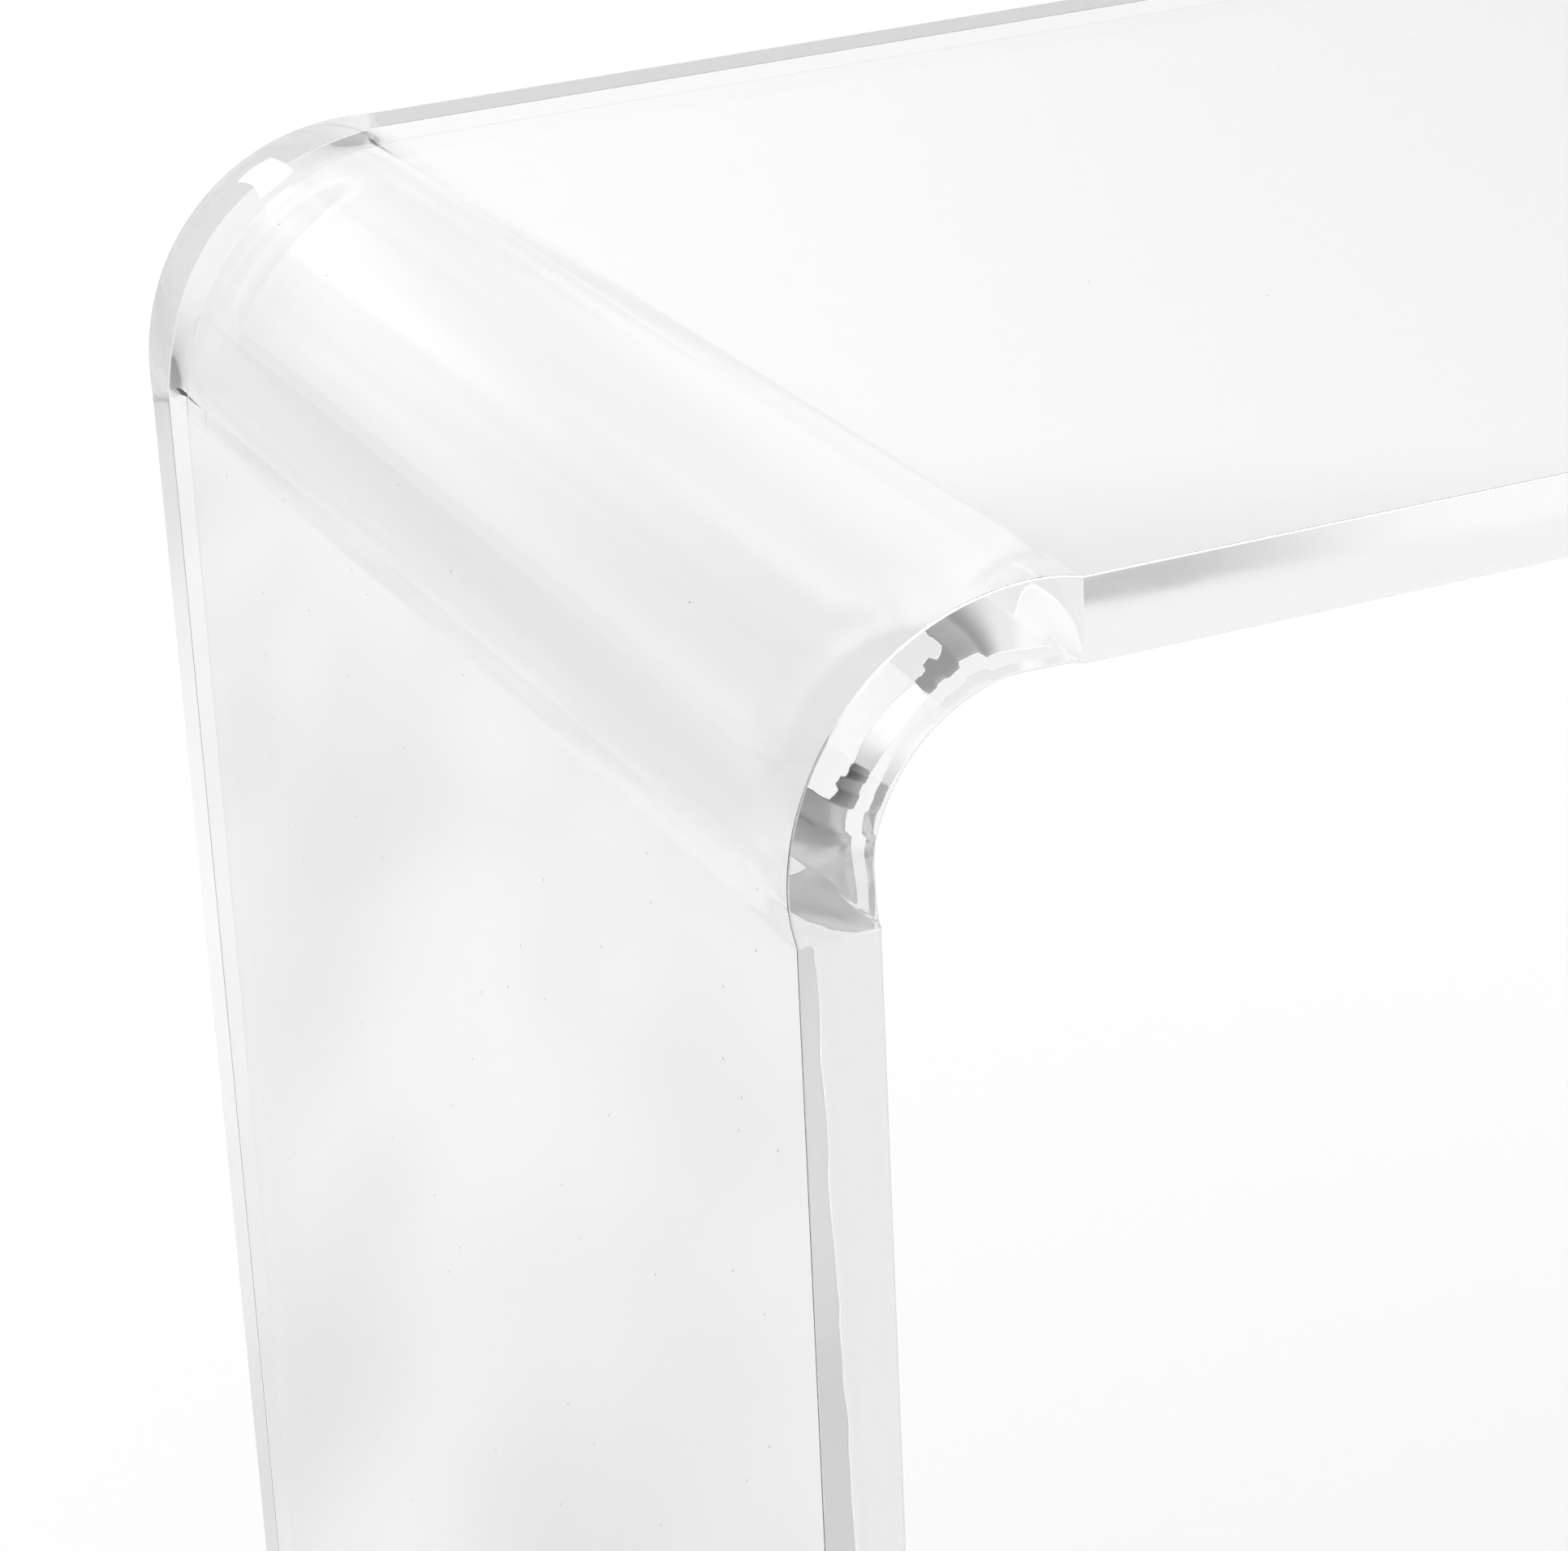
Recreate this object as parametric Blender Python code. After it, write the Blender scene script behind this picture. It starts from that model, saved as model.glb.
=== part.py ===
"""Waterfall console table: one thick clear acrylic sheet, heat-bent down at both ends, on stuck-on pads.

Metres, +Z up, +X along the table's length, -Y towards its front. The origin is on the floor under the middle.
"""

import math

import bmesh
import bpy

# Driving dimensions of the table
TABLE_LENGTH = 1.220
TABLE_DEPTH = 0.410
TABLE_HEIGHT = 0.762
SHEET_THICKNESS = 0.019

# Bend at each upper corner: how far its inner face starts from the square corner, and how the curve eases
INNER_BEND_REACH = 0.0475
BEND_EASE = 0.8

# How far the heated strip draws in at the front and back edges, on the outer and inner face
OUTER_DRAW_IN = 0.0039
INNER_DRAW_IN = 0.0034
DRAW_IN_POWER = 4

# Narrow flat left by polishing along every sharp edge
ARRIS = 0.0007

# Pads under the legs, and the tape that holds them
PAD_DIAMETER = 0.014
PAD_HEIGHT = 0.0030
PAD_RIM_ROUND = 0.0010
PAD_INSET = 0.035
TAPE_DIAMETER = 0.012
TAPE_THICKNESS = 0.0010

# Clearance between pieces that touch
SEAT_GAP = 0.0003

# Fineness of the curved stretches
BEND_STEPS = 24
EASE_SAMPLES = 40
DISC_SIDES = 32
RIM_STEPS = 3

# Sizes that follow from those above
HALF_SHEET = SHEET_THICKNESS / 2
BEND_REACH = INNER_BEND_REACH + SHEET_THICKNESS
PAD_TOP = PAD_HEIGHT
TAPE_BOTTOM = PAD_TOP + SEAT_GAP
TAPE_TOP = TAPE_BOTTOM + TAPE_THICKNESS
SHEET_BOTTOM = TAPE_TOP + SEAT_GAP
LEG_MIDDLE_X = TABLE_LENGTH / 2 - HALF_SHEET
PAD_MIDDLE_Y = TABLE_DEPTH / 2 - PAD_INSET


def clear_scene():
    for old in list(bpy.data.objects):
        bpy.data.objects.remove(old, do_unlink=True)


def clear_material(name, colour, roughness, ior):
    material = bpy.data.materials.new(name)
    material.use_nodes = True
    shader = material.node_tree.nodes["Principled BSDF"]
    shader.inputs["Base Color"].default_value = (*colour, 1.0)
    shader.inputs["Metallic"].default_value = 0.0
    shader.inputs["Roughness"].default_value = roughness
    shader.inputs["IOR"].default_value = ior
    shader.inputs["Transmission Weight"].default_value = 1.0
    return material


def object_from(mesh_builder, name, material):
    mesh = bpy.data.meshes.new(name)
    mesh_builder.to_mesh(mesh)
    mesh_builder.free()
    mesh.materials.append(material)
    mesh.shade_smooth()
    mesh.set_sharp_from_angle(angle=math.radians(30))
    thing = bpy.data.objects.new(name, mesh)
    bpy.context.scene.collection.objects.link(thing)
    return thing


def turned_share(share):
    """The part of the bend's quarter turn made by this share of its length, slow at both ends."""
    plain = share
    eased = (1 - math.cos(math.pi * share)) / 2
    return (1 - BEND_EASE) * plain + BEND_EASE * eased


def bend_stations():
    """(share of length, angle turned, x, z) along one bend's middle line, starting at 0, 0 and heading up."""
    fine = BEND_STEPS * EASE_SAMPLES
    x = 0.0
    z = 0.0
    stations = [(0.0, 0.0, x, z)]
    for step in range(1, fine + 1):
        angle = turned_share((step - 0.5) / fine) * math.pi / 2
        x += math.sin(angle) / fine
        z += math.cos(angle) / fine
        if step % EASE_SAMPLES == 0:
            share = step / fine
            stations.append((share, turned_share(share) * math.pi / 2, x, z))
    length = (BEND_REACH - HALF_SHEET) / x
    return [(share, angle, x * length, z * length) for share, angle, x, z in stations]


def draw_in_share(share):
    """How much of its full draw-in the heated strip has at this share of the bend's length."""
    return 1 - abs(2 * share - 1) ** DRAW_IN_POWER


def section(x, z, angle, draw_in, cut_back):
    """The sheet's outline across its path, clockwise as seen by someone walking along it from the left foot."""
    outer_y = TABLE_DEPTH / 2 - OUTER_DRAW_IN * draw_in - cut_back
    inner_y = TABLE_DEPTH / 2 - INNER_DRAW_IN * draw_in - cut_back
    face = HALF_SHEET - cut_back
    edge = face - ARRIS
    outline = [
        (face, -outer_y + ARRIS),
        (face, outer_y - ARRIS),
        (edge, outer_y),
        (-edge, inner_y),
        (-face, inner_y - ARRIS),
        (-face, -inner_y + ARRIS),
        (-edge, -inner_y),
        (edge, -outer_y),
    ]
    return [(x - math.cos(angle) * out, y, z + math.sin(angle) * out) for out, y in outline]


def left_half_sections():
    """Outlines from the left foot, up the leg and round the left bend, to where the flat top starts."""
    bend_bottom = TABLE_HEIGHT - BEND_REACH
    sections = [
        section(-LEG_MIDDLE_X, SHEET_BOTTOM, 0.0, 0.0, ARRIS),
        section(-LEG_MIDDLE_X, SHEET_BOTTOM + ARRIS, 0.0, 0.0, 0.0),
    ]
    for share, angle, x, z in bend_stations():
        place = (x - LEG_MIDDLE_X, z + bend_bottom)
        sections.append(section(*place, angle, draw_in_share(share), 0.0))
    return sections


def bent_sheet(material):
    left = left_half_sections()
    right = [[(-x, y, z) for x, y, z in outline] for outline in reversed(left)]
    builder = bmesh.new()
    rings = [[builder.verts.new(point) for point in outline] for outline in left + right]
    for ring, following in zip(rings, rings[1:]):
        for corner in range(len(ring)):
            other = (corner + 1) % len(ring)
            builder.faces.new((ring[corner], ring[other], following[other], following[corner]))
    builder.faces.new(rings[0])
    builder.faces.new(rings[-1])
    bmesh.ops.recalc_face_normals(builder, faces=builder.faces)
    return object_from(builder, "bent_sheet", material)


def disc(name, material, diameter, bottom, height, rim_round, x, y):
    """A round disc whose lower rim may be rounded, centred on x, y with its underside at the height bottom."""
    builder = bmesh.new()
    bmesh.ops.create_cone(
        builder,
        cap_ends=True,
        segments=DISC_SIDES,
        radius1=diameter / 2,
        radius2=diameter / 2,
        depth=height,
    )
    if rim_round > 0:
        rim = [edge for edge in builder.edges if all(vert.co.z < 0 for vert in edge.verts)]
        bmesh.ops.bevel(
            builder,
            geom=rim,
            offset=rim_round,
            segments=RIM_STEPS,
            profile=0.5,
            affect="EDGES",
        )
    thing = object_from(builder, name, material)
    thing.location = (x, y, bottom + height / 2)
    return thing


def feet(pad_material, tape_material):
    for end, side_x in (("left", -1), ("right", 1)):
        for face, side_y in (("front", -1), ("back", 1)):
            x = side_x * LEG_MIDDLE_X
            y = side_y * PAD_MIDDLE_Y
            place = f"{face}_{end}"
            disc(f"tape_{place}", tape_material, TAPE_DIAMETER, TAPE_BOTTOM, TAPE_THICKNESS, 0.0, x, y)
            disc(f"pad_{place}", pad_material, PAD_DIAMETER, 0.0, PAD_HEIGHT, PAD_RIM_ROUND, x, y)


def main():
    clear_scene()
    bent_sheet(clear_material("clear_acrylic", (0.98, 0.99, 0.99), 0.0, 1.49))
    feet(
        clear_material("clear_soft_pad", (0.93, 0.94, 0.94), 0.25, 1.50),
        clear_material("clear_tape", (0.95, 0.95, 0.94), 0.35, 1.47),
    )


main()
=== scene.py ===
"""Looks of the clear acrylic console table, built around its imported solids. Metres, +Z up, front at -Y."""

import math
from collections import namedtuple

import bmesh
import bpy
import numpy as np
from mathutils import Matrix, Vector


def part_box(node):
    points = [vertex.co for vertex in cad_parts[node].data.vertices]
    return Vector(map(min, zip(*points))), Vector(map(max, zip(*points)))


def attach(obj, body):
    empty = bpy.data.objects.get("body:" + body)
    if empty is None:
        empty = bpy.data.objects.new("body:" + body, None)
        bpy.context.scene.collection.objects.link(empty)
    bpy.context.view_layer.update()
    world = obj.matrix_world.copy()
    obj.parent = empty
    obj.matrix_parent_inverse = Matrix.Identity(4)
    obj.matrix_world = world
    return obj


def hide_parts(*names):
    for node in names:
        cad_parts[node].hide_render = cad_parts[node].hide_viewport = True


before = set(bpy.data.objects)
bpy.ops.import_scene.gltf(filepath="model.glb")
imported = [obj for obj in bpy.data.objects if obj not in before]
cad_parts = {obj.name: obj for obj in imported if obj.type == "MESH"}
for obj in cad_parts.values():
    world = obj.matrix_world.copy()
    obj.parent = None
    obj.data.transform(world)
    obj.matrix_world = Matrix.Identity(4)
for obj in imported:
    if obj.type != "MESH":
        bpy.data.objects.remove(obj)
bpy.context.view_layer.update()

# The sheet's outside sizes, as the solids have them
SHEET_LOW, SHEET_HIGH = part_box("bent_sheet")
TABLE_LENGTH = SHEET_HIGH.x - SHEET_LOW.x
HALF_DEPTH = (SHEET_HIGH.y - SHEET_LOW.y) / 2
TABLE_HEIGHT = SHEET_HIGH.z
SHEET_THICKNESS = 0.019
HALF_SHEET = SHEET_THICKNESS / 2
LEG_MIDDLE_X = TABLE_LENGTH / 2 - HALF_SHEET

# The bend: how far it starts from the square corner, how its turn is spread, and the crease at each end
BEND_REACH = 0.0665
BEND_EASE = 0.6
CREASE_TURN = 0.033
CREASE_SPAN = 0.02

# The heated strip shrinks across, so both edges draw in, in a gentler curve along the back edge
OUTER_DRAW_IN = 0.00325
OUTER_DRAW_POWER = 11.0
INNER_DRAW_IN = 0.0026
INNER_DRAW_POWER = 9.0
INNER_DRAW_SOFTNESS = 24.0
BACK_DRAW_POWER = 2.0

# The rims of the heated strip curl outwards
OUTER_CURL = 0.00237
OUTER_CURL_POWER = 2.9
OUTER_CURL_WIDTH = 0.035
OUTER_CURL_SHAPE = 2.0
BACK_CURL_WIDTH = 0.030
INNER_CURL = 0.00226
INNER_CURL_POWER = 5.2
INNER_CURL_WIDTH = 0.050
INNER_CURL_SHAPE = 2.6
BACK_INNER_CURL_POWER = 2.0

# The legs' edges are slightly out of square: how much further in the inner rim is, and where that changes
LEG_LEAN_TOP = 0.00025
LEG_LEAN_FOOT = -0.00013
LEG_LEAN_RUN = 0.31
LEG_LEAN_END = 0.001

# Fineness of the curves, and how much large faces count in the shading at their borders
EDGE_ROUND = 0.0004
BEND_STEPS = 96
CREASE_STEPS = 5
PATH_SAMPLES = 4000
CURL_ROWS = 24
ROW_SPACING_POWER = 1.5
ROUND_STEPS = 4
EDGE_STEPS = 12
FLAT_WEIGHT = 50

# The photograph's frame and its camera, placed from the table's front left upper corner
PHOTO_WIDTH = 1932
FOCAL_PIXELS = 6072
SENSOR_WIDTH = 36.0
CAMERA_FROM_CORNER = Vector((-0.3656, -0.8174, 0.3532))
CAMERA_HEADING = 24.03
CAMERA_PITCH = -23.10
CAMERA_ROLL = -2.69
CLIP_NEAR = 0.05
CLIP_FAR = 300.0

# The feet: moulded bumpers on pressed tape. The dimple's two reaches are shares of the contact radius
PAD_DIMPLE = 0.0002
PAD_DIMPLE_REACH = 0.6
PAD_RING_REACH = 0.85
PAD_RING_DEPTH = 0.3
PAD_SHOULDER_ROUND = 0.0018
PAD_FLANGE_LIP = 0.0002
PAD_FLANGE_HEIGHT = 0.0007
TAPE_BULGE = 0.0003
TURN_STEPS = 64
SHOULDER_STEPS = 8

# The part of a noise's values that is spread over a whole range of looks
NOISE_RANGE = (0.3, 0.7)

# The acrylic: slight waves in its faces, drawn streaks in the bend, dust, and slight absorption
ACRYLIC_IOR = 1.49
WAVE_SCALE = 45.0
WAVE_DETAIL = 1.0
WAVE_HEIGHT = 0.000012
STREAKS_ACROSS = 160.0
STREAKS_ALONG = 3.0
STREAK_DETAIL = 3.0
STREAK_HEIGHT = 0.000006
DUST_SCALE = 200.0
DUST_RADIUS = 0.08
DUST_CORE = 0.6
DUST_RARITY = 0.985
DUST_SHADE = 0.3
ABSORPTION = 0.25

# The acrylic's edges: less polished along the top, and dull in the bends along the back
EDGE_FACING = (0.8, 0.95)
EDGE_GRAIN_SCALE = 900.0
EDGE_GRAIN_DETAIL = 2.0
EDGE_GRAIN_LEAST = 0.8
TOP_EDGE_ROUGHNESS = 0.12
BACK_RIM_ROUGHNESS = 0.75
BACK_RIM_START = (-0.005, 0.0)

# The pads' soft, slightly cloudy plastic
PAD_IOR = 1.43
PAD_CLEARNESS = 0.85
PAD_CLOUD_SCALE = 250.0
PAD_CLOUD_DETAIL = 3.0
PAD_TINT = (0.84, 0.93)
PAD_ROUGHNESS = (0.16, 0.30)
PAD_GRAIN_SCALE = 1800.0
PAD_GRAIN_DETAIL = 2.0
PAD_GRAIN_HEIGHT = 0.00004

# The tape's foam with fine bubbles
TAPE_IOR = 1.47
TAPE_CLEARNESS = 0.5
TAPE_BUBBLE_SCALE = 900.0
TAPE_BUBBLE_SIZE = (0.1, 0.5)
TAPE_TINT = (0.78, 0.9)
TAPE_GRAIN_SCALE = 400.0
TAPE_GRAIN_DETAIL = 2.0
TAPE_ROUGHNESS = (0.45, 0.7)

# Light: how many bounces are followed, how often mirrored light counts as guided, and a margin for counts
LIGHT_BOUNCES = 40
GUIDED_TIMES = 2
COUNT_MARGIN = 0.5

# The floor as seen straight on
FLOOR_SIZE = 120.0
FLOOR_ROUGHNESS = 0.9
FLOOR_WHITE = 0.85

# The floor behind the table as seen through the acrylic: where it has a painted shade, a little darker, in
# metres, and how much
THROUGH_LEFT = (-0.03, 0.06)
THROUGH_RIGHT = (0.30, 0.40)
THROUGH_START = (0.5, 0.9)
THROUGH_SLOPE = 1.15
THROUGH_REACH = (1.3, 2.0)
THROUGH_PAINTED_SHADE = 0.89

# The floor as the acrylic mirrors it, behind and in front of the table: painted shade and light, shown only
# in the acrylic
GUIDED_REACH = (1.4, 1.9)
FLOOR_GUIDED = (0.70, 0.79)
FRONT_NEAR = (-0.6, -0.1)
FRONT_NEAR_WHITE = 1.0
FRONT_FLOOR = (-2.4, -0.9)
FRONT_FLOOR_GREY = 0.42

# The floor as the acrylic mirrors it, left of the table: painted shade, greyer, with long soft patches that
# lie at an angle, shown only in the acrylic
SWEEP_LEFT = (-0.80, -0.64)
LEFT_FLOOR = (-2.0, -1.2)
LEFT_FLOOR_GREY = 0.57
LEFT_FLOOR_GUIDED = 0.46
LEFT_FAR_ACROSS = (-1.0, -0.45)
LEFT_FAR_GREY = (0.05, 0.34)
LEFT_FRONT = (-0.9, -0.4)
LEFT_FRONT_GREY = 0.80
LEFT_PATCH_TURN = 24.0
LEFT_PATCH_SIZE = (0.11, 0.42, 1.0)
LEFT_PATCH_DETAIL = 1.0
LEFT_PATCH_DEPTH = 0.13

# The surroundings' even light on the floor, and their white as seen straight on
DOME_LIGHT = 1.24
OPEN_WHITE = 1.03

# The wall behind the table as the acrylic mirrors it, darker higher up, in degrees and light
WALL_SIDE = (-26.0, -6.0)
WALL_RISE = (20.0, 40.0)
WALL_FADE = (18.0, 36.0)
WALL_LIGHT = (0.95, 0.70)
UPPER_LIGHT = 0.33

# The same wall for guided light, with a bright dome above it for light that was mirrored still more often
WALL_GUIDED_RISE = (20.0, 27.0)
WALL_GUIDED_SIDE = (18.0, 26.0)
WALL_GUIDED_END = 1.12
DOME_RISE = (36.0, 48.0)
DOME_GUIDED = 9.0
DOME_MIRRORED = 4

# A darker slot across the wall, which ends sooner for guided light
SLOT_MIDDLE = 20.9
SLOT_HALF = 1.6
SLOT_SIDE = (12.0, 20.0)
SLOT_DEPTH = 0.5
SLOT_GUIDED_END = (28.7, 32.2)

# The left of the room, with haze low down, and the room in front of the table
LEFT_ROOM_RISE = (14.0, 26.0)
LEFT_ROOM_LIGHT = (0.50, 0.42)
LEFT_HAZE = (-1.0, 9.0)
LEFT_HAZE_LIGHT = 0.33
LEFT_ROOM_GUIDED = 1.3
FRONT_SIDE = (80.0, 110.0)
FRONT_LIGHT = 1.0

# Round the middle of the mirrored room: a light hole, a ring of shade, and streaks that fall off outwards
ROOM_MIDDLE = (-4.0, 2.0)
SHADE_HOLE = (10.5, 14.0)
SHADE_HOLE_LIGHT = 0.85
SHADE_RADII = (19.0, 21.6)
SHADE_LIGHT = 0.10
ROOM_FALL = (22.0, 26.0)
ROOM_FALL_LIGHT = (1.15, 0.72)
ROOM_STREAKS = 3.4
ROOM_STREAK_DRIFT = 0.12
ROOM_STREAK_DETAIL = 2.0
ROOM_STREAK_DEPTH = 0.22
ROOM_SIDE = (8.0, 18.0)

# A soft lamp high behind the table: its middle, half sizes and soft edge in degrees, its slant, and its light
LAMP_MIDDLE = (-8.5, 38.7)
LAMP_HALF = (6.5, 5.0)
LAMP_SLANT = 0.2
LAMP_BLUR = 0.3
LAMP_LIGHT = 3.5

Station = namedtuple("Station", "x z angle from_middle lean", defaults=[0.0])


def turned_share(share):
    """The part of the bend's quarter turn made by this share of its length."""
    eased = (1 - np.cos(np.pi * share)) / 2
    smooth = (1 - BEND_EASE) * share + BEND_EASE * eased
    first = np.clip(share / CREASE_SPAN, 0, 1)
    last = np.clip((share - 1 + CREASE_SPAN) / CREASE_SPAN, 0, 1)
    return CREASE_TURN * (first + last) + (1 - 2 * CREASE_TURN) * smooth


def bend_shares():
    """Stations along the bend, closer together in its creases."""
    crease = np.linspace(0, CREASE_SPAN, CREASE_STEPS, endpoint=False)
    middle = np.linspace(CREASE_SPAN, 1 - CREASE_SPAN, BEND_STEPS)
    return np.concatenate([crease, middle, 1 - crease[::-1]])


def bend_stations():
    """One bend's middle line, starting at 0, 0 and heading up, then turning to the right."""
    fine = np.linspace(0, 1, PATH_SAMPLES + 1)
    angles = turned_share((fine[1:] + fine[:-1]) / 2) * math.pi / 2
    across = np.concatenate([[0], np.cumsum(np.sin(angles))])
    upward = np.concatenate([[0], np.cumsum(np.cos(angles))])
    scale = (BEND_REACH - HALF_SHEET) / across[-1]
    stations = []
    for share in bend_shares():
        x = float(np.interp(share, fine, across)) * scale
        z = float(np.interp(share, fine, upward)) * scale
        angle = float(turned_share(share)) * math.pi / 2
        stations.append(Station(x, z, angle, abs(2 * share - 1)))
    return stations


def edge_points(outer, inner):
    """Points across an edge from the outer face to the inner one, as (out, y), with both corners rounded."""
    outer_out, outer_y = outer
    inner_out, inner_y = inner
    points = []
    for step in range(ROUND_STEPS + 1):
        turn = step / ROUND_STEPS * math.pi / 2
        out = outer_out - EDGE_ROUND * (1 - math.cos(turn))
        y = outer_y - EDGE_ROUND * (1 - math.sin(turn))
        points.append((out, y))
    for step in range(1, EDGE_STEPS):
        share = step / EDGE_STEPS
        out = outer_out - EDGE_ROUND + (inner_out - outer_out + 2 * EDGE_ROUND) * share
        y = outer_y + (inner_y - outer_y) * share
        points.append((out, y))
    for step in range(ROUND_STEPS + 1):
        turn = (1 - step / ROUND_STEPS) * math.pi / 2
        out = inner_out + EDGE_ROUND * (1 - math.cos(turn))
        y = inner_y - EDGE_ROUND * (1 - math.sin(turn))
        points.append((out, y))
    return points


def curl_rows(width, shape, level_rim=False):
    """Distances in from the edge's rounding at which a face has points, with the curl's share there."""
    rows = []
    for step in range(1, CURL_ROWS + 1):
        share = (step / CURL_ROWS) ** ROW_SPACING_POWER
        curl = (1 - share) ** shape
        if level_rim:
            curl *= 1 + shape * share
        rows.append((share * width, curl))
    return rows


def bend_share(station, power, softness=1.0):
    """0 at the bend's ends and 1 in its middle, sooner with a higher power, later with more softness."""
    return (1 - station.from_middle ** power) ** softness


def half_outline(station, cut_back, at_back):
    """Half of the outline, as (out, y), from the outer face's middle round one edge to the inner face's."""
    if at_back:
        outer_draw = OUTER_DRAW_IN * bend_share(station, BACK_DRAW_POWER)
        inner_draw = outer_draw
        inner_power = BACK_INNER_CURL_POWER
        outer_width = BACK_CURL_WIDTH
    else:
        outer_draw = OUTER_DRAW_IN * bend_share(station, OUTER_DRAW_POWER)
        inner_draw = INNER_DRAW_IN * bend_share(station, INNER_DRAW_POWER, INNER_DRAW_SOFTNESS)
        inner_power = INNER_CURL_POWER
        outer_width = OUTER_CURL_WIDTH
    outer_y = HALF_DEPTH - cut_back - outer_draw - max(0.0, -station.lean)
    inner_y = HALF_DEPTH - cut_back - inner_draw - max(0.0, station.lean)
    face = HALF_SHEET - cut_back
    outer_curl = OUTER_CURL * bend_share(station, OUTER_CURL_POWER)
    inner_curl = INNER_CURL * bend_share(station, inner_power)
    points = []
    for inset, share in reversed(curl_rows(outer_width, OUTER_CURL_SHAPE, level_rim=at_back)):
        points.append((face + outer_curl * share, outer_y - EDGE_ROUND - inset))
    points += edge_points((face + outer_curl, outer_y), (-face + inner_curl, inner_y))
    for inset, share in curl_rows(INNER_CURL_WIDTH, INNER_CURL_SHAPE):
        points.append((-face + inner_curl * share, inner_y - EDGE_ROUND - inset))
    return points


def section(station, cut_back=0.0):
    """The sheet's closed outline across its path at one station."""
    back = half_outline(station, cut_back, at_back=True)
    front = [(out, -y) for out, y in reversed(half_outline(station, cut_back, at_back=False))]
    along_x = -math.cos(station.angle)
    along_z = math.sin(station.angle)
    return [(station.x + along_x * out, y, station.z + along_z * out) for out, y in back + front]


def left_half_sections():
    """Outlines from the left foot, up the leg and round the left bend."""
    bend_bottom = TABLE_HEIGHT - BEND_REACH
    bottom = Station(-LEG_MIDDLE_X, SHEET_LOW.z, 0.0, 1.0, LEG_LEAN_FOOT)
    sections = [section(bottom, EDGE_ROUND)]
    sections.append(section(bottom._replace(z=SHEET_LOW.z + EDGE_ROUND)))
    sections.append(section(bottom._replace(z=bend_bottom - LEG_LEAN_RUN)))
    sections.append(section(bottom._replace(z=bend_bottom - LEG_LEAN_END, lean=LEG_LEAN_TOP)))
    for station in bend_stations():
        sections.append(section(station._replace(x=station.x - LEG_MIDDLE_X, z=station.z + bend_bottom)))
    inside = BEND_REACH + SHEET_THICKNESS - TABLE_LENGTH / 2
    sections.append(section(Station(inside, TABLE_HEIGHT - HALF_SHEET, math.pi / 2, 1.0)))
    return sections


def finished_piece(name, builder, material, middle=(0.0, 0.0, 0.0)):
    """A smooth object from a built mesh, whose large flat faces stay flat to the light."""
    bmesh.ops.recalc_face_normals(builder, faces=builder.faces)
    mesh = bpy.data.meshes.new(name)
    builder.to_mesh(mesh)
    builder.free()
    mesh.shade_smooth()
    mesh.materials.append(material)
    piece = bpy.data.objects.new(name, mesh)
    piece.location = middle
    bpy.context.scene.collection.objects.link(piece)
    flats = piece.modifiers.new("true_flats", "WEIGHTED_NORMAL")
    flats.mode = "FACE_AREA"
    flats.weight = FLAT_WEIGHT
    return piece


def bent_sheet(material):
    """Dresses the bent sheet, its right half mirroring the left one."""
    left = left_half_sections()
    right = [[(-x, y, z) for x, y, z in outline] for outline in reversed(left)]
    builder = bmesh.new()
    rings = [[builder.verts.new(point) for point in outline] for outline in left + right]
    for ring, following in zip(rings, rings[1:]):
        for corner in range(len(ring)):
            other = (corner + 1) % len(ring)
            builder.faces.new((ring[corner], ring[other], following[other], following[corner]))
    builder.faces.new(rings[0])
    builder.faces.new(rings[-1])
    sheet = finished_piece("acrylic_sheet", builder, material)
    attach(sheet, "root")
    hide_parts("bent_sheet")


def lathe(name, profile, middle, material):
    """A turned piece: its profile is (radius, height) pairs from the axis underneath round to that on top."""
    builder = bmesh.new()
    rings = []
    for radius, height in profile[1:-1]:
        ring = []
        for step in range(TURN_STEPS):
            turn = step / TURN_STEPS * 2 * math.pi
            ring.append(builder.verts.new((radius * math.cos(turn), radius * math.sin(turn), height)))
        rings.append(ring)
    under = builder.verts.new((0, 0, profile[0][1]))
    over = builder.verts.new((0, 0, profile[-1][1]))
    for step in range(TURN_STEPS):
        following = (step + 1) % TURN_STEPS
        builder.faces.new((under, rings[0][following], rings[0][step]))
        builder.faces.new((over, rings[-1][step], rings[-1][following]))
        for low_ring, high_ring in zip(rings, rings[1:]):
            corners = (low_ring[step], low_ring[following], high_ring[following], high_ring[step])
            builder.faces.new(corners)
    return finished_piece(name, builder, material, middle)


def pad_profile(radius, height):
    """A moulded bumper: a dimple, a contact ring, a round shoulder and a thin flange on top."""
    shoulder = radius - PAD_FLANGE_LIP
    contact = shoulder - PAD_SHOULDER_ROUND
    rise = height - PAD_FLANGE_HEIGHT
    points = [(0.0, PAD_DIMPLE)]
    points.append((contact * PAD_DIMPLE_REACH, PAD_DIMPLE))
    points.append((contact * PAD_RING_REACH, PAD_DIMPLE * PAD_RING_DEPTH))
    for step in range(SHOULDER_STEPS + 1):
        turn = step / SHOULDER_STEPS * math.pi / 2
        points.append((contact + PAD_SHOULDER_ROUND * math.sin(turn), rise * (1 - math.cos(turn))))
    points.append((radius, rise + PAD_FLANGE_LIP))
    points.append((radius, height - PAD_FLANGE_LIP))
    points.append((shoulder, height))
    points.append((0.0, height))
    return points


def tape_profile(radius, thickness):
    """A pressed disc of tape, its side bulging a little between the two faces."""
    points = [(0.0, 0.0)]
    for step in range(SHOULDER_STEPS + 1):
        turn = step / SHOULDER_STEPS * math.pi
        points.append((radius - TAPE_BULGE * (1 - math.sin(turn)), thickness * (1 - math.cos(turn)) / 2))
    points.append((0.0, thickness))
    return points


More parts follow.
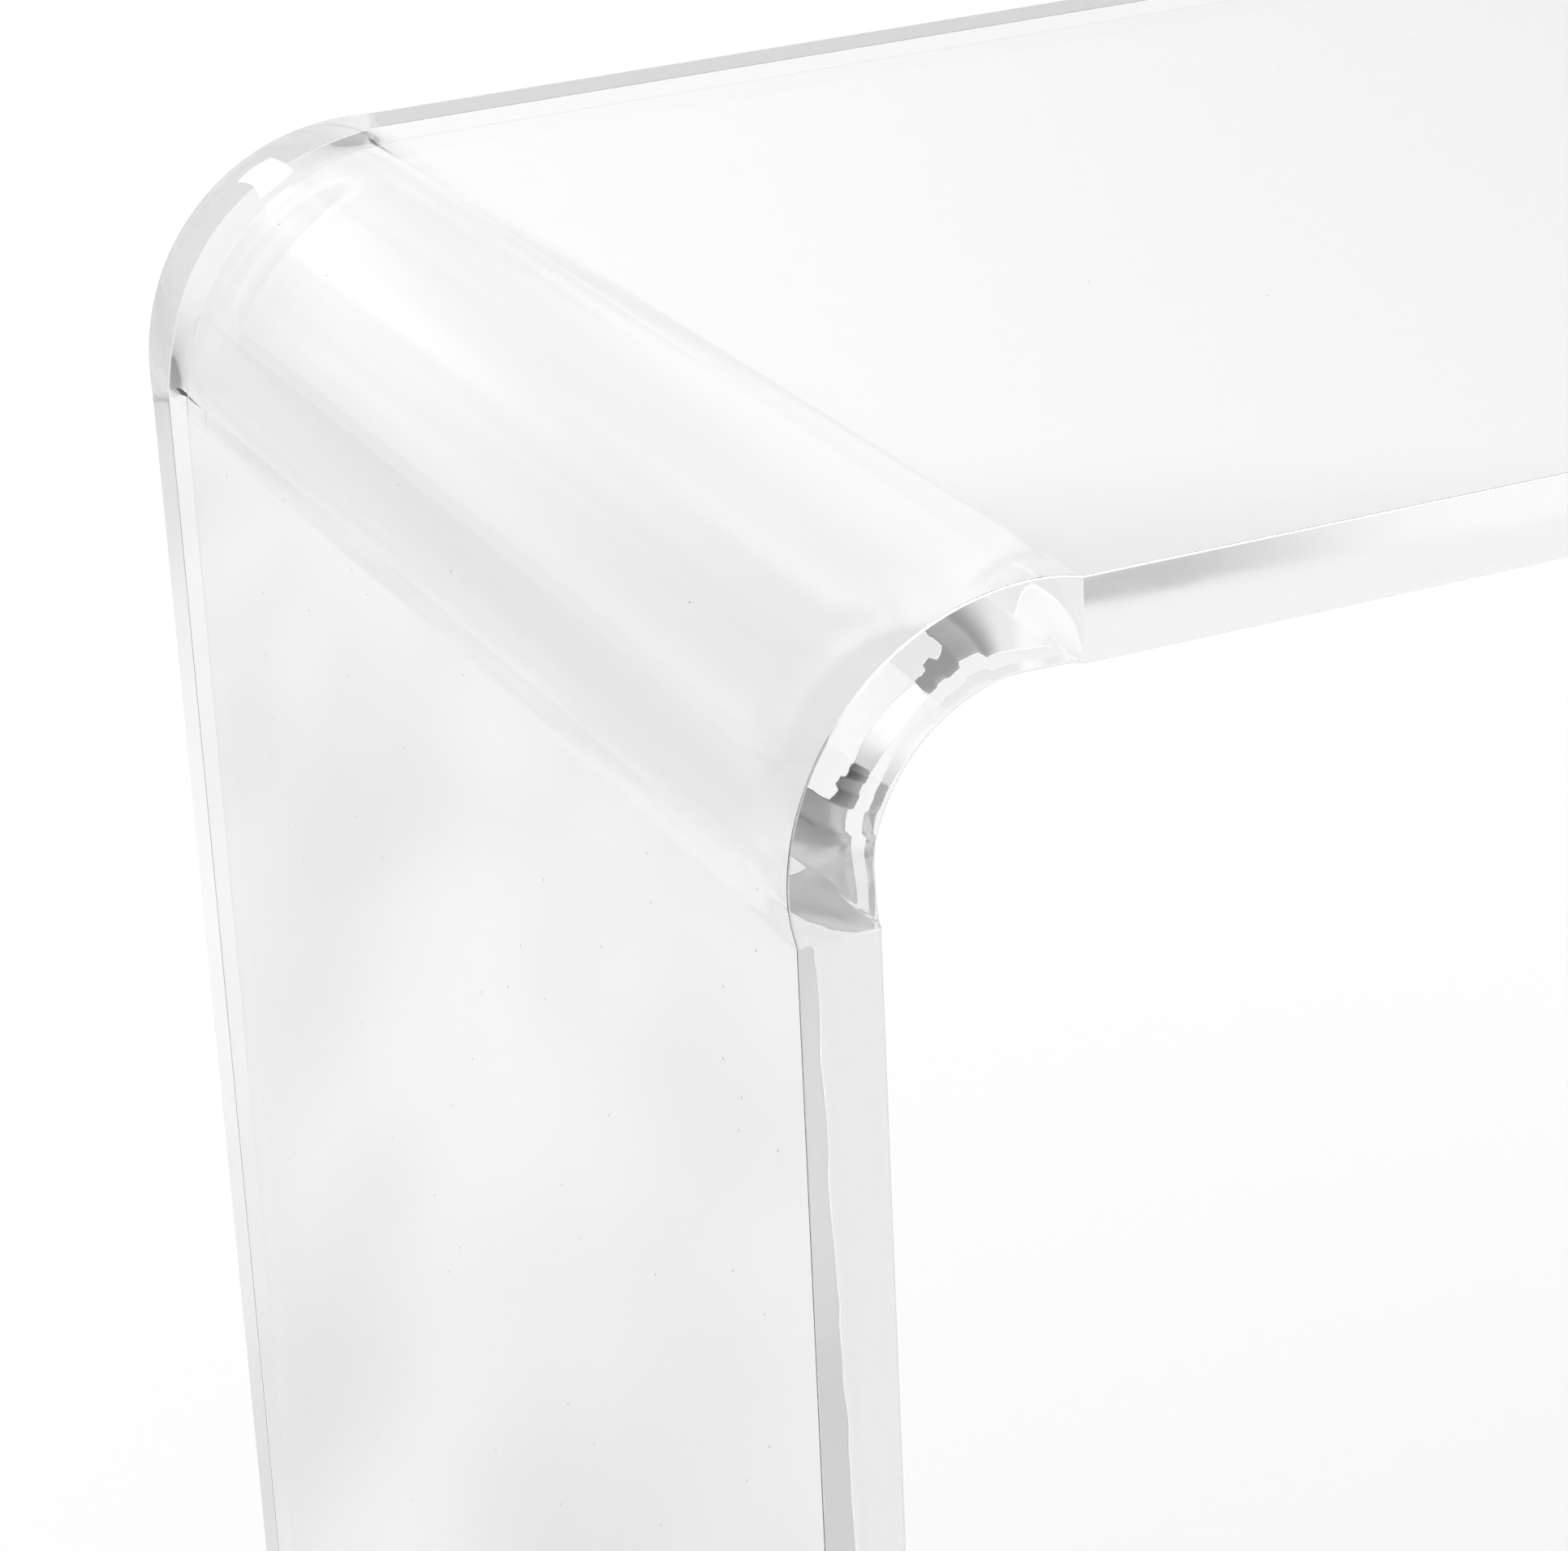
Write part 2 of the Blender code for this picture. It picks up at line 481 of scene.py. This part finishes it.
def foot(node, make_profile, material):
    """Dresses one pad or tape disc in place of its CAD node."""
    low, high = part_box(node)
    middle = ((low.x + high.x) / 2, (low.y + high.y) / 2, low.z)
    profile = make_profile((high.x - low.x) / 2, high.z - low.z)
    piece = lathe(node + "_moulded", profile, middle, material)
    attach(piece, "root")
    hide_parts(node)


class Wiring:
    """Short names for adding and joining nodes in one node tree."""

    def __init__(self, tree):
        self.tree = tree

    def node(self, kind, **settings):
        made = self.tree.nodes.new(kind)
        for name, value in settings.items():
            setattr(made, name, value)
        return made

    def feed(self, source, target):
        """Joins a socket to the target, or sets a plain value on it."""
        if isinstance(source, bpy.types.NodeSocket):
            self.tree.links.new(source, target)
        else:
            target.default_value = source

    def math(self, operation, first, second=0.0):
        made = self.node("ShaderNodeMath", operation=operation)
        self.feed(first, made.inputs[0])
        self.feed(second, made.inputs[1])
        return made.outputs[0]

    def product(self, first, *others):
        for other in others:
            first = self.math("MULTIPLY", first, other)
        return first

    def ramp(self, value, from_low, from_high, to_low=0.0, to_high=1.0):
        """A smooth step of value between two limits."""
        made = self.node("ShaderNodeMapRange", interpolation_type="SMOOTHSTEP")
        self.feed(value, made.inputs["Value"])
        made.inputs["From Min"].default_value = from_low
        made.inputs["From Max"].default_value = from_high
        self.feed(to_low, made.inputs["To Min"])
        self.feed(to_high, made.inputs["To Max"])
        return made.outputs["Result"]

    def mix(self, share, first, second):
        made = self.node("ShaderNodeMix", data_type="FLOAT")
        self.feed(share, made.inputs["Factor"])
        self.feed(first, made.inputs["A"])
        self.feed(second, made.inputs["B"])
        return made.outputs["Result"]

    def split(self, vector):
        made = self.node("ShaderNodeSeparateXYZ")
        self.feed(vector, made.inputs[0])
        return made.outputs

    def stretched(self, vector, scale):
        made = self.node("ShaderNodeMapping")
        self.feed(vector, made.inputs["Vector"])
        made.inputs["Scale"].default_value = scale
        return made.outputs["Vector"]

    def noise(self, vector, scale, detail):
        made = self.node("ShaderNodeTexNoise")
        self.feed(vector, made.inputs["Vector"])
        made.inputs["Scale"].default_value = scale
        made.inputs["Detail"].default_value = detail
        return made.outputs["Fac"]

    def cells(self, vector, scale):
        made = self.node("ShaderNodeTexVoronoi")
        self.feed(vector, made.inputs["Vector"])
        made.inputs["Scale"].default_value = scale
        return made.outputs

    def bump(self, height, target):
        """Heights in metres onto a shader's normal."""
        made = self.node("ShaderNodeBump")
        made.inputs["Strength"].default_value = 1.0
        made.inputs["Distance"].default_value = 1.0
        self.feed(height, made.inputs["Height"])
        self.feed(made.outputs["Normal"], target)

    def object_place(self):
        return self.node("ShaderNodeTexCoord").outputs["Object"]

    def at_least(self, count, times):
        """1 for light whose path has this count, such as Glossy Depth, at this number or above, else 0."""
        path = self.node("ShaderNodeLightPath")
        return self.math("GREATER_THAN", path.outputs[count], times - COUNT_MARGIN)

    def mirrored(self, times=1):
        """1 for light that the acrylic has mirrored this often, 0 for what is seen straight or through it."""
        return self.at_least("Glossy Depth", times)


def new_material(name):
    """A material, its wiring and its main shader."""
    material = bpy.data.materials.new(name)
    material.use_nodes = True
    return material, Wiring(material.node_tree), material.node_tree.nodes["Principled BSDF"]


def dust(wire, place):
    """1 on a few tiny specks, 0 elsewhere."""
    cells = wire.cells(place, DUST_SCALE)
    near = wire.ramp(cells["Distance"], DUST_RADIUS, DUST_RADIUS * DUST_CORE)
    chosen = wire.math("GREATER_THAN", wire.split(cells["Color"])["X"], DUST_RARITY)
    return wire.product(near, chosen)


def acrylic():
    """Clear acrylic with the marks of its bending and of the finish of its edges."""
    material, wire, shader = new_material("clear_acrylic")
    place = wire.object_place()
    spot = wire.split(place)
    shader.inputs["IOR"].default_value = ACRYLIC_IOR
    shader.inputs["Transmission Weight"].default_value = 1.0
    absorption = wire.node("ShaderNodeVolumeAbsorption")
    absorption.inputs["Color"].default_value = (0.0, 0.0, 0.0, 1.0)
    absorption.inputs["Density"].default_value = ABSORPTION
    output = wire.tree.nodes["Material Output"]
    wire.feed(absorption.outputs["Volume"], output.inputs["Volume"])
    clear = wire.mix(dust(wire, place), 1.0, DUST_SHADE)
    wire.feed(clear, shader.inputs["Base Color"])

    # Faint waves all over, and streaks along the bends
    bend_start_x = TABLE_LENGTH / 2 - BEND_REACH
    bend_start_z = TABLE_HEIGHT - BEND_REACH
    sideways = wire.math("ABSOLUTE", spot["X"])
    past_top = wire.ramp(sideways, bend_start_x, bend_start_x + HALF_SHEET)
    past_leg = wire.ramp(spot["Z"], bend_start_z, bend_start_z + HALF_SHEET)
    waves = wire.product(wire.noise(place, WAVE_SCALE, WAVE_DETAIL), WAVE_HEIGHT)
    along_bend = wire.stretched(place, (STREAKS_ACROSS, STREAKS_ALONG, STREAKS_ACROSS))
    drawn = wire.noise(along_bend, 1.0, STREAK_DETAIL)
    in_bend = wire.product(past_top, past_leg)
    streaks = wire.product(drawn, in_bend, STREAK_HEIGHT)
    wire.bump(wire.math("ADD", waves, streaks), shader.inputs["Normal"])

    # Sanded edges along the top, and dull ones in the bends along the back
    facing = wire.split(wire.node("ShaderNodeTexCoord").outputs["Normal"])
    edge = wire.ramp(wire.math("ABSOLUTE", facing["Y"]), *EDGE_FACING)
    flat_top = wire.product(wire.math("SUBTRACT", 1.0, past_top), past_leg)
    grain = wire.noise(place, EDGE_GRAIN_SCALE, EDGE_GRAIN_DETAIL)
    least = TOP_EDGE_ROUGHNESS * EDGE_GRAIN_LEAST
    grain = wire.ramp(grain, *NOISE_RANGE, least, TOP_EDGE_ROUGHNESS)
    sanded = wire.product(edge, flat_top, grain)
    from_top = wire.math("SUBTRACT", sideways, bend_start_x)
    from_leg = wire.math("SUBTRACT", spot["Z"], bend_start_z)
    into_bend = wire.math("MINIMUM", from_top, from_leg)
    at_back = wire.ramp(spot["Y"], 0.0, HALF_DEPTH / 2)
    dull = wire.product(edge, at_back, wire.ramp(into_bend, *BACK_RIM_START), BACK_RIM_ROUGHNESS)
    wire.feed(wire.math("ADD", sanded, dull), shader.inputs["Roughness"])
    return material


def soft_pad():
    """The pads' slightly cloudy plastic with a fine grain."""
    material, wire, shader = new_material("clear_pad")
    place = wire.object_place()
    shader.inputs["IOR"].default_value = PAD_IOR
    shader.inputs["Transmission Weight"].default_value = PAD_CLEARNESS
    cloud = wire.noise(place, PAD_CLOUD_SCALE, PAD_CLOUD_DETAIL)
    wire.feed(wire.ramp(cloud, *NOISE_RANGE, *PAD_TINT), shader.inputs["Base Color"])
    wire.feed(wire.ramp(cloud, *NOISE_RANGE, *PAD_ROUGHNESS), shader.inputs["Roughness"])
    grain = wire.noise(place, PAD_GRAIN_SCALE, PAD_GRAIN_DETAIL)
    wire.bump(wire.product(grain, PAD_GRAIN_HEIGHT), shader.inputs["Normal"])
    return material


def soft_tape():
    """The tape's milky foam with fine bubbles."""
    material, wire, shader = new_material("clear_tape")
    place = wire.object_place()
    shader.inputs["IOR"].default_value = TAPE_IOR
    shader.inputs["Transmission Weight"].default_value = TAPE_CLEARNESS
    bubbles = wire.cells(place, TAPE_BUBBLE_SCALE)
    skin = wire.ramp(bubbles["Distance"], *TAPE_BUBBLE_SIZE, *TAPE_TINT)
    wire.feed(skin, shader.inputs["Base Color"])
    grain = wire.noise(place, TAPE_GRAIN_SCALE, TAPE_GRAIN_DETAIL)
    wire.feed(wire.ramp(grain, *NOISE_RANGE, *TAPE_ROUGHNESS), shader.inputs["Roughness"])
    return material


def left_floor_painted_shade(wire, position, spot, guided):
    """Painted shade: the floor's grey left of the table, with soft patches, seen only as the acrylic mirrors
    it.
    """
    turn = math.radians(LEFT_PATCH_TURN)
    turned = wire.node("ShaderNodeMapping", vector_type="TEXTURE")
    wire.feed(position, turned.inputs["Vector"])
    turned.inputs["Rotation"].default_value = (0.0, 0.0, turn)
    turned.inputs["Scale"].default_value = LEFT_PATCH_SIZE
    patches = wire.noise(turned.outputs["Vector"], 1.0, LEFT_PATCH_DETAIL)
    patches = wire.ramp(patches, *NOISE_RANGE, -LEFT_PATCH_DEPTH, LEFT_PATCH_DEPTH)
    near = wire.mix(guided, LEFT_FLOOR_GREY, LEFT_FLOOR_GUIDED)
    near = wire.math("ADD", near, patches)
    along_x = wire.product(spot["X"], math.cos(turn))
    along_y = wire.product(spot["Y"], math.sin(turn))
    across = wire.math("ADD", along_x, along_y)
    far = wire.ramp(across, *LEFT_FAR_ACROSS, *LEFT_FAR_GREY)
    grey = wire.ramp(spot["X"], *LEFT_FLOOR, far, near)
    return wire.ramp(spot["Y"], *LEFT_FRONT, LEFT_FRONT_GREY, grey)


def floor_painted_reflection(wire, position, spot):
    """Painted shade and light: the floor's grey as the acrylic mirrors it, not as seen straight on or through
    it.
    """
    guided = wire.mirrored(GUIDED_TIMES)
    guided_white = wire.ramp(spot["Y"], *GUIDED_REACH, *FLOOR_GUIDED)
    white = wire.mix(guided, FLOOR_WHITE, guided_white)
    white = wire.ramp(spot["Y"], *FRONT_NEAR, FRONT_NEAR_WHITE, white)
    grey = wire.ramp(spot["Y"], *FRONT_FLOOR, FRONT_FLOOR_GREY, white)
    return wire.ramp(spot["X"], *SWEEP_LEFT, left_floor_painted_shade(wire, position, spot, guided), grey)


def floor_with_painted_shade(wire, spot):
    """The floor's white as seen straight on, and a painted soft shade on it as seen through the acrylic."""
    from_left = wire.ramp(spot["X"], *THROUGH_LEFT)
    to_right = wire.ramp(spot["X"], *THROUGH_RIGHT, 1.0, 0.0)
    from_table = wire.ramp(spot["Y"], *THROUGH_START)
    depth = wire.math("SUBTRACT", spot["Y"], wire.product(spot["X"], THROUGH_SLOPE))
    to_back = wire.ramp(depth, *THROUGH_REACH, 1.0, 0.0)
    through = wire.at_least("Transmission Depth", 1)
    shaded = wire.product(from_left, to_right, from_table, to_back, through)
    return wire.mix(shaded, FLOOR_WHITE, FLOOR_WHITE * THROUGH_PAINTED_SHADE)


def floor():
    """A wide floor, plain white as seen straight on, with painted shade where the acrylic mirrors it or is
    seen through.
    """
    mesh = bpy.data.meshes.new("floor")
    half = FLOOR_SIZE / 2
    corners = [(-half, -half, 0), (half, -half, 0), (half, half, 0), (-half, half, 0)]
    mesh.from_pydata(corners, [], [(0, 1, 2, 3)])
    material, wire, shader = new_material("floor_white_painted_shade")
    shader.inputs["Roughness"].default_value = FLOOR_ROUGHNESS
    shader.inputs["Specular IOR Level"].default_value = 0.0
    position = wire.node("ShaderNodeNewGeometry").outputs["Position"]
    spot = wire.split(position)
    # Painted shade: the floor's colour changes where it is seen through or mirrored by the acrylic
    colour = wire.mix(wire.mirrored(), floor_with_painted_shade(wire, spot), floor_painted_reflection(wire, position, spot))
    wire.feed(colour, shader.inputs["Base Color"])
    mesh.materials.append(material)
    ground = bpy.data.objects.new("floor", mesh)
    bpy.context.scene.collection.objects.link(ground)


def left_room(wire, elevation, guided):
    """The light of the room's left side."""
    light = wire.ramp(elevation, *LEFT_ROOM_RISE, *LEFT_ROOM_LIGHT)
    light = wire.ramp(elevation, *LEFT_HAZE, LEFT_HAZE_LIGHT, light)
    return wire.mix(guided, light, LEFT_ROOM_GUIDED)


def wall(wire, azimuth, elevation, guided):
    """The light of the wall behind the table, with its slot."""
    lower = wire.ramp(azimuth, *WALL_FADE, *WALL_LIGHT)
    plain = wire.ramp(elevation, *WALL_RISE, lower, UPPER_LIGHT)
    deep = wire.ramp(elevation, *WALL_GUIDED_RISE, WALL_LIGHT[0], UPPER_LIGHT)
    deep = wire.ramp(azimuth, *WALL_GUIDED_SIDE, deep, WALL_LIGHT[0])
    deep = wire.ramp(azimuth, *SLOT_GUIDED_END, deep, WALL_GUIDED_END)
    dome = wire.ramp(elevation, *DOME_RISE, deep, DOME_GUIDED)
    deep = wire.mix(wire.mirrored(DOME_MIRRORED), deep, dome)
    light = wire.mix(guided, plain, deep)
    from_slot = wire.math("ABSOLUTE", wire.math("SUBTRACT", elevation, SLOT_MIDDLE))
    slot_end = wire.product(guided, wire.ramp(azimuth, *SLOT_GUIDED_END))
    in_slot = wire.product(wire.ramp(from_slot, SLOT_HALF, 0.0), wire.ramp(azimuth, *SLOT_SIDE))
    in_slot = wire.product(in_slot, wire.math("SUBTRACT", 1.0, slot_end))
    return wire.product(light, wire.mix(in_slot, 1.0, SLOT_DEPTH))


def round_the_middle(wire, azimuth, elevation, light):
    """The light round the middle of the mirrored room: its hole, its ring of shade and its streaks."""
    aside = wire.math("SUBTRACT", azimuth, ROOM_MIDDLE[0])
    above = wire.math("SUBTRACT", elevation, ROOM_MIDDLE[1])
    around = wire.math("ARCTAN2", aside, above)
    squares = wire.math("ADD", wire.product(aside, aside), wire.product(above, above))
    away = wire.math("SQRT", squares)
    polar = wire.node("ShaderNodeCombineXYZ")
    wire.feed(wire.product(around, ROOM_STREAKS), polar.inputs["X"])
    wire.feed(wire.product(away, ROOM_STREAK_DRIFT), polar.inputs["Y"])
    streaks = wire.noise(polar.outputs["Vector"], 1.0, ROOM_STREAK_DETAIL)
    streaks = wire.ramp(streaks, *NOISE_RANGE, 1 - ROOM_STREAK_DEPTH, 1 + ROOM_STREAK_DEPTH)
    fall = wire.ramp(away, *ROOM_FALL, *ROOM_FALL_LIGHT)
    streaked = wire.product(light, wire.product(streaks, fall))
    streaked = wire.ramp(azimuth, *ROOM_SIDE, streaked, light)
    shaded = wire.ramp(away, *SHADE_RADII, SHADE_LIGHT, streaked)
    return wire.ramp(away, *SHADE_HOLE, SHADE_HOLE_LIGHT, shaded)


def on_lamp(wire, azimuth, elevation, guided):
    """1 on the lamp and 0 elsewhere, and for guided light 0 everywhere."""
    share = wire.math("SUBTRACT", 1.0, guided)
    slanted = wire.math("SUBTRACT", elevation, wire.product(azimuth, LAMP_SLANT))
    for angle, middle, half in zip((azimuth, slanted), LAMP_MIDDLE, LAMP_HALF):
        off = wire.math("ABSOLUTE", wire.math("SUBTRACT", angle, middle))
        share = wire.product(share, wire.ramp(off, half + LAMP_BLUR, half - LAMP_BLUR))
    return share


def studio():
    """White surroundings with even light, and a graded room for what the acrylic mirrors."""
    world = bpy.data.worlds.new("studio")
    bpy.context.scene.world = world
    world.use_nodes = True
    wire = Wiring(world.node_tree)
    looking = wire.split(wire.node("ShaderNodeTexCoord").outputs["Generated"])
    to_degrees = 180 / math.pi
    azimuth = wire.product(wire.math("ARCTAN2", looking["X"], looking["Y"]), to_degrees)
    elevation = wire.product(wire.math("ARCSINE", looking["Z"]), to_degrees)
    guided = wire.mirrored(GUIDED_TIMES)
    left_light = left_room(wire, elevation, guided)
    wall_light = wall(wire, azimuth, elevation, guided)
    light = wire.ramp(azimuth, *WALL_SIDE, left_light, wall_light)
    light = wire.ramp(wire.math("ABSOLUTE", azimuth), *FRONT_SIDE, light, FRONT_LIGHT)
    light = wire.mix(guided, round_the_middle(wire, azimuth, elevation, light), light)
    light = wire.mix(on_lamp(wire, azimuth, elevation, guided), light, LAMP_LIGHT)
    seen = wire.mix(wire.mirrored(), OPEN_WHITE, light)
    lighting = wire.node("ShaderNodeLightPath").outputs["Is Diffuse Ray"]
    background = wire.tree.nodes["Background"]
    wire.feed(wire.mix(lighting, seen, DOME_LIGHT), background.inputs["Color"])
    bpy.context.scene.view_settings.view_transform = "Standard"
    cycles = bpy.context.scene.cycles
    cycles.max_bounces = LIGHT_BOUNCES
    cycles.transmission_bounces = LIGHT_BOUNCES
    cycles.glossy_bounces = LIGHT_BOUNCES


def camera():
    """The camera at the photograph's place."""
    data = bpy.data.cameras.new("camera")
    data.sensor_width = SENSOR_WIDTH
    data.lens = FOCAL_PIXELS / PHOTO_WIDTH * SENSOR_WIDTH
    data.clip_start = CLIP_NEAR
    data.clip_end = CLIP_FAR
    eye = bpy.data.objects.new("camera", data)
    bpy.context.scene.collection.objects.link(eye)
    corner = Vector((SHEET_LOW.x, SHEET_LOW.y, SHEET_HIGH.z))
    turn = Matrix.Rotation(math.radians(-CAMERA_HEADING), 4, "Z")
    tilt = Matrix.Rotation(math.radians(90 + CAMERA_PITCH), 4, "X")
    roll = Matrix.Rotation(math.radians(CAMERA_ROLL), 4, "Z")
    eye.matrix_world = Matrix.Translation(corner + CAMERA_FROM_CORNER) @ turn @ tilt @ roll
    bpy.context.scene.camera = eye


bent_sheet(acrylic())
pad_material = soft_pad()
tape_material = soft_tape()
for side in ("front_left", "front_right", "back_left", "back_right"):
    foot("pad_" + side, pad_profile, pad_material)
    foot("tape_" + side, tape_profile, tape_material)
floor()
studio()
camera()
